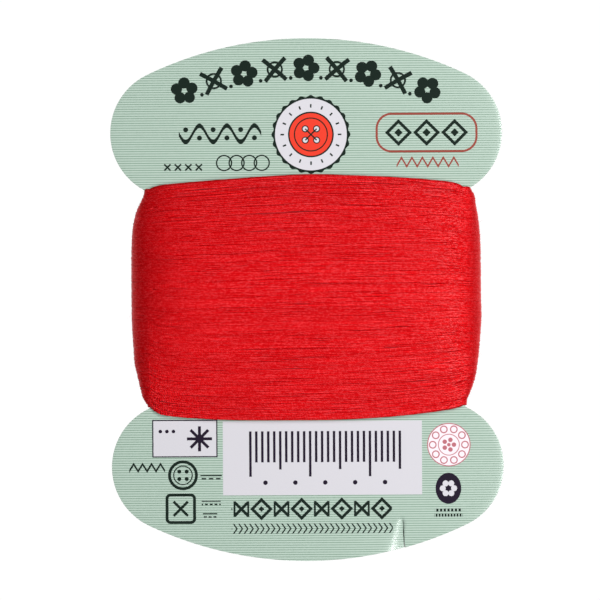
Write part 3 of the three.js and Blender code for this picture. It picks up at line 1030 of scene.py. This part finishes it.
def makeBody(material):
    # The winding below the modelled turns, as a ring: up its outside, down its inside.
    bodyRows = winding["bodyRows"]
    share = np.sin(np.linspace(-1, 1, bodyRows["outside"]) * np.pi / 2) * bodyRows["reach"]
    s = np.broadcast_to(share, (stations, len(share)))
    outer = np.maximum(outerDepth(s) - thread["laidDepth"], winding["bodyGap"])
    inner = np.full((stations, bodyRows["inside"]), winding["bodyGap"] / 2)
    rows = np.concatenate([share, np.linspace(0.98, -0.98, bodyRows["inside"])])
    depth = np.concatenate([outer, inner], axis=1).T
    y = rowBottom + (rowTop - rowBottom) * (rows[:, None] + 1) / 2
    points = stationPoints(y, depth).transpose(1, 0, 2).reshape(-1, 3)
    return addMesh("woundBody", points, [gridFaces(stations, len(rows), True, True)[:, ::-1]], [material])


def threadMaterial():
    # Three plies run round the thread as ridges at a slant: the sine of three times the difference
    # of the way round and the way along. Shade is painted into the colour, darker in the grooves between
    # the plies and down the sides of each turn, where the next one lies against it. Short pale flecks
    # on the crowns of the plies are painted glints in the colour, and the same mask adds a glossy coat
    # there.
    shader = Shader("redCottonThread")
    along, around, _ = shader.split(shader.node("UVMap", {"uv_map": "threadRun"}))
    ply = abs(((around - along) * (3 * math.pi)).math("SINE"))
    side = 0.5 - (around * (2 * math.pi)).math("COSINE") * 0.5
    place = shader.objectPlace()
    streaks = shader.noise(shader.stretch(place, (0.14, 2.6, 2.6)), 1.5, 2.0, 0.6)
    fibres = shader.noise(shader.stretch(place, (1.6, 5.0, 5.0)), 4.0, 3.0, 0.6)
    flecks = shader.noise(shader.stretch(place, (1.2, 3.0, 3.0)), 1.6, 2.0, 0.8)
    # painted glints: pale flecks mixed into the colour, kept off the sides of turns and onto the ply crowns;
    # the same mask also sets a real coat
    glossAndPaintedGlint = shader.spread(flecks, -2.5, 2.9) + shader.spread(streaks, -0.8, 0.8)
    glossAndPaintedGlint = shader.clamped(glossAndPaintedGlint - side * 0.5 + (ply - 0.6) * 0.6)
    lightness = shader.spread(streaks, -0.6, 1.6) + shader.spread(fibres, -0.5, 0.5)
    colour = shader.mixed(lightness, inks["threadDeep"], inks["threadBright"])
    # painted shade: darker down the sides of each turn and in the grooves between the plies
    shade = side * thread["sidePaintedShade"] + (1 - ply) * thread["plyPaintedShade"]
    colour = shader.mixed(shade, colour, inks["threadPaintedShade"])
    colour = shader.mixed(glossAndPaintedGlint, colour, inks["threadPaintedGlint"])
    return shader.finish(
        Base_Color=colour, Metallic=0.5, Roughness=shader.spread(fibres, 0.37, 0.53), IOR=1.45,
        Specular_IOR_Level=0.1, Coat_Weight=glossAndPaintedGlint * 0.5, Coat_Roughness=0.4,
        Normal=shader.bump(ply + fibres * 0.4, 0.035))


def bodyMaterial():
    # Buried turns of the same thread, seen only in the gaps, with painted shade: darker than the outer turns
    # and darkest along the rows between turns.
    shader = Shader("buriedThreadPaintedShade")
    place = shader.objectPlace()
    _, y, _ = shader.split(place)
    rows = abs((y * (math.pi / (2 * thread["radius"]))).math("SINE"))
    fibres = shader.noise(shader.stretch(place, (0.3, 3.0, 3.0)), 2.0, 3.0)
    # painted shade: dark red along the rows between buried turns, and darker overall than the outer thread
    colour = shader.mixed(rows, srgb(96, 2, 10), srgb(186, 10, 22))
    colour = shader.mixed(fibres * 0.4, colour, srgb(140, 4, 14))
    return shader.finish(
        Base_Color=colour, Roughness=shader.spread(fibres, 0.7, 0.9), Normal=shader.bump(rows, 0.1))


fuzz = {
    "hairs": 1200,
    "radius": 0.009,
    "tip": 0.35,  # share of the radius at a hair's end
    "length": (0.3, 1.0),
    "steps": 5,
    "slant": {"out": 0.8, "along": 0.9, "aside": 0.7},
    "bend": 0.6,
    "fall": 0.4,  # hairs bend back towards the thread
    "lowest": 0.02,
}


def makeFuzz(turnPoints, material):
    # Fine fibre ends that stand off the outer turns: each starts on a strand, leaves it at a slant
    # and bends over, as start + way * length * (direction + way * bend).
    count, steps = fuzz["hairs"], fuzz["steps"]
    turn = random.integers(len(turnPoints) * 2 // 3, len(turnPoints) - 1, count)
    station = random.integers(0, stations, count)
    start = turnPoints[turn, station]
    outward = np.stack([outX, 0 * outX, outZ], axis=1)[station]
    along = unit(turnPoints[turn, (station + 1) % stations] - start + 1e-6)
    sideways = np.cross(outward, along)
    lean = random.uniform(-1, 1, (count, 3))
    slant, bend = fuzz["slant"], fuzz["bend"]
    aslant = slant["along"] * lean[:, :1] * along + slant["aside"] * lean[:, 1:2] * sideways
    direction = unit(slant["out"] * outward + aslant)
    bend = random.uniform(-bend, bend, (count, 3)) - fuzz["fall"] * outward
    length = random.uniform(*fuzz["length"], count)[:, None, None]
    way = np.linspace(0, 1, steps)[None, :, None]
    paths = start[:, None] + way * length * (direction[:, None] + way * bend[:, None])
    paths[..., 2] = np.maximum(paths[..., 2], fuzz["lowest"])
    taper = fuzz["radius"] * np.linspace(1, fuzz["tip"], steps)
    upward = np.broadcast_to(np.cross(direction, [0.3, 0.5, 0.8])[:, None], paths.shape)
    points, faces = tubes(paths, upward, taper, 3)
    return addMesh("threadFuzz", points, faces, [material])


studio = {
    "lens": 100.0,
    "sensor": 36.0,
    "viewWidth": 100.33,  # across the picture at the card's face
    "aim": (-1.17, -0.07),
    "roll": -0.3,
    # one long soft box, leaning this many degrees from straight above towards the right
    "box": {"angle": 21.5, "distance": 600, "up": 95, "size": (100, 900), "power": 6.4},
    "fill": 0.02,  # light from all round
    "backdrop": 0.9,  # how pale the same surroundings look
    "tableGlow": 1.08,  # the table is burnt out to white, but throws no such light on the card
    "tableHalf": 3000.0,
    "tableGap": 0.02,
}


def addLight(name, box):
    # A soft box that looks along its slant, at its distance times the sine and cosine of its angle.
    light = bpy.data.lights.new(name, "AREA")
    light.shape = "RECTANGLE"
    light.size, light.size_y = (side * mm for side in box["size"])
    light.energy = box["power"]
    lamp = bpy.data.objects.new(name, light)
    angle = math.radians(box["angle"])
    across, away = box["distance"] * math.sin(angle), box["distance"] * math.cos(angle)
    lamp.location = Vector((across, box["up"], away)) * mm
    lamp.rotation_euler = (0, angle, 0)
    bpy.context.scene.collection.objects.link(lamp)


def makeStudio():
    # A camera straight above, the soft box, pale surroundings, and a table burnt out to white.
    scene = bpy.context.scene
    data = bpy.data.cameras.new("studioCamera")
    data.lens, data.sensor_width = studio["lens"], studio["sensor"]
    camera = bpy.data.objects.new("studioCamera", data)
    distance = studio["viewWidth"] * studio["lens"] / studio["sensor"]
    aimX, aimY = studio["aim"]
    camera.location = (aimX * mm, aimY * mm, (cardMiddleZ + cardHalf + distance) * mm)
    camera.rotation_euler = (0, 0, math.radians(studio["roll"]))
    scene.collection.objects.link(camera)
    scene.camera = camera
    addLight("softBox", studio["box"])
    world = bpy.data.worlds.new("paleStudio")
    world.use_nodes = True
    nodes, links = world.node_tree.nodes, world.node_tree.links
    seen = nodes.new("ShaderNodeLightPath").outputs["Is Camera Ray"]
    strength = nodes.new("ShaderNodeMapRange")
    strength.inputs["To Min"].default_value = studio["fill"]
    strength.inputs["To Max"].default_value = studio["backdrop"]
    links.new(seen, strength.inputs["Value"])
    nodes["Background"].inputs["Color"].default_value = (1, 1, 1, 1)
    links.new(strength.outputs["Result"], nodes["Background"].inputs["Strength"])
    scene.world = world
    scene.view_settings.view_transform = "Standard"

    shader = Shader("paleTable")
    grain = shader.noise(shader.objectPlace(), 0.05, 2.0)
    shade = shader.mixed(grain, srgb(247, 247, 247), srgb(250, 250, 250))
    plain = shader.surface(Base_Color=shade, Roughness=0.9)
    glowing = shader.surface(
        Base_Color=srgb(0, 0, 0), Specular_IOR_Level=0.0, Emission_Color=shade,
        Emission_Strength=studio["tableGlow"])
    seen = shader.node("LightPath", output="Is Camera Ray")
    shader.output(shader.node("MixShader", inputs={0: seen, 1: plain, 2: glowing}))
    height = cadLow[2] / mm - studio["tableGap"]
    corners = np.array([(-1, -1, 0), (1, -1, 0), (1, 1, 0), (-1, 1, 0)]) * studio["tableHalf"]
    floor = addMesh("table", corners + [0, 0, height], [np.array([[0, 1, 2, 3]])], [shader.material])


cardPiece = makeCard([printedFront(), cutEdge(), plainBack()])
redCotton = threadMaterial()
threadPieces, turnPoints = makeThread(redCotton)
bodyPiece = makeBody(bodyMaterial())
fuzzPiece = makeFuzz(turnPoints, redCotton)

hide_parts("card")
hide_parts("winding")
for piece in (*threadPieces, bodyPiece, fuzzPiece):
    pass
for piece in (cardPiece, bodyPiece, fuzzPiece, *threadPieces):
    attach(piece, "root")

makeStudio()
print("scene ready")
